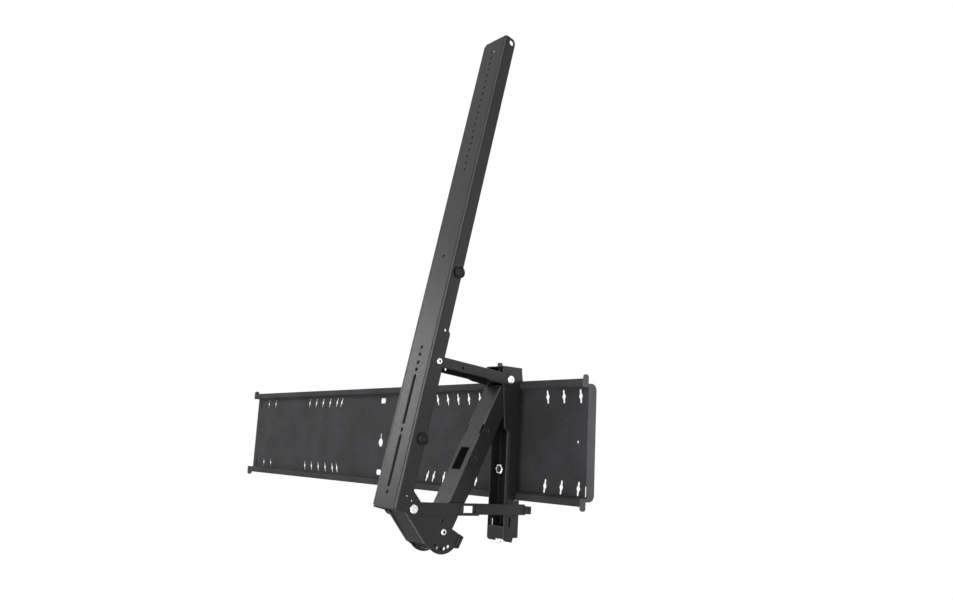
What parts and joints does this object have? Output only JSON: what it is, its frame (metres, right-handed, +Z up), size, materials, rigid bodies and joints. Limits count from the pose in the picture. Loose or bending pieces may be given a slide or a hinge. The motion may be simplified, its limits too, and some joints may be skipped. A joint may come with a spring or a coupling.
{
  "type": "tilting display wall mount",
  "caption": "Slotted steel wall tray with two rails and a sliding display bracket: a long perforated upright on a swing arm, upper link, index sector and telescopic stay.",
  "frame": {"origin": "centre of the pattern of two small screw holes in the wall tray's panel, on the panel's back face", "axes": "+Z up the wall, +X along the rails towards the bracket shown, +Y into the wall, display side at -Y"},
  "size_m": [1.181, 0.2815, 0.8982],
  "materials": {
    "tray_coat": "satin black powder coat",
    "black_powder_coat": "satin black powder coat",
    "upright_coat": "satin black powder coat",
    "zinc_plate": "bright zinc plate",
    "black_oxide": "black oxide on steel",
    "bumper_plastic": "black moulded plastic",
    "nylon": "black nylon",
    "foot_rubber": "black rubber"
  },
  "bodies": {
    "wall_tray": {"wall_panel": "tray_coat", "end_plate_left": "tray_coat", "end_plate_right": "tray_coat"},
    "carriage": {"carriage_channel": "black_powder_coat", "hook_plate": "black_powder_coat", "catch_plate": "black_powder_coat", "level_screw": "black_oxide", "clamp_stud": "black_oxide", "clamp_cup": "zinc_plate", "latch_rivet": "zinc_plate", "pivot_pin_a": "zinc_plate"},
    "latch": {"latch_plate": "black_powder_coat", "pull_ring": "zinc_plate"},
    "arm": {"swing_arm": "black_powder_coat", "arm_spacer_left": "zinc_plate", "arm_spacer_right": "zinc_plate", "index_pin": "zinc_plate", "pivot_pin_d": "zinc_plate"},
    "link": {"upper_link": "black_powder_coat"},
    "sector": {"tilt_sector": "black_powder_coat", "pivot_pin_c": "zinc_plate"},
    "upright": {"upright": "upright_coat", "pivot_pin_b": "zinc_plate", "bumper_low_left": "bumper_plastic", "bumper_low_right": "bumper_plastic", "bumper_high_left": "bumper_plastic", "bumper_high_right": "bumper_plastic"},
    "stay": {"stay_sleeve": "black_powder_coat", "stay_guide_right": "nylon"},
    "stay_fork": {"stay_fork": "black_powder_coat", "stay_foot": "foot_rubber"}
  },
  "joints": [
    {"name": "carriage_slide", "type": "slide", "parent": "wall_tray", "child": "carriage", "axis": [1, 0, 0], "range_m": [-0.975, 0.138]},
    {"name": "latch_pull", "type": "slide", "parent": "carriage", "child": "latch", "axis": [0, 0, -1], "range_m": [0, 0.011], "stiffness_N_per_m": 400},
    {"name": "arm_swing", "type": "hinge", "parent": "carriage", "child": "arm", "pos_m": [0.4195, -0.0418, 0.1002], "axis": [1, 0, 0], "range_deg": [0, 12]},
    {"name": "link_tilt", "type": "hinge", "parent": "arm", "child": "link", "pos_m": [0.4195, -0.0418, 0.1002], "axis": [1, 0, 0], "range_deg": [-6.19, 6.19]},
    {"name": "sector_tilt", "type": "hinge", "parent": "arm", "child": "sector", "pos_m": [0.4195, -0.16892, -0.14928], "axis": [1, 0, 0], "range_deg": [-14.5, 14.5]},
    {"name": "upright_tilt", "type": "hinge", "parent": "sector", "child": "upright", "pos_m": [0.4195, -0.23312, -0.11391], "axis": [1, 0, 0], "range_deg": [-16.37, 16.37]},
    {"name": "stay_pivot", "type": "hinge", "parent": "upright", "child": "stay", "pos_m": [0.4195, -0.23312, -0.11391], "axis": [1, 0, 0], "range_deg": [-5.8, 5.8]},
    {"name": "stay_slide", "type": "slide", "parent": "stay", "child": "stay_fork", "axis": [0, 0.9999, -0.0105], "range_m": [-0.0459, 0]}
  ],
  "couplings": [
    {"joint": "link_tilt", "follows": "sector_tilt", "ratio": 0.4258},
    {"joint": "upright_tilt", "follows": "sector_tilt", "ratio": -1.1285},
    {"joint": "stay_pivot", "follows": "sector_tilt", "ratio": 0.4},
    {"joint": "stay_slide", "follows": "arm_swing", "m_per_rad": -0.2188}
  ]
}
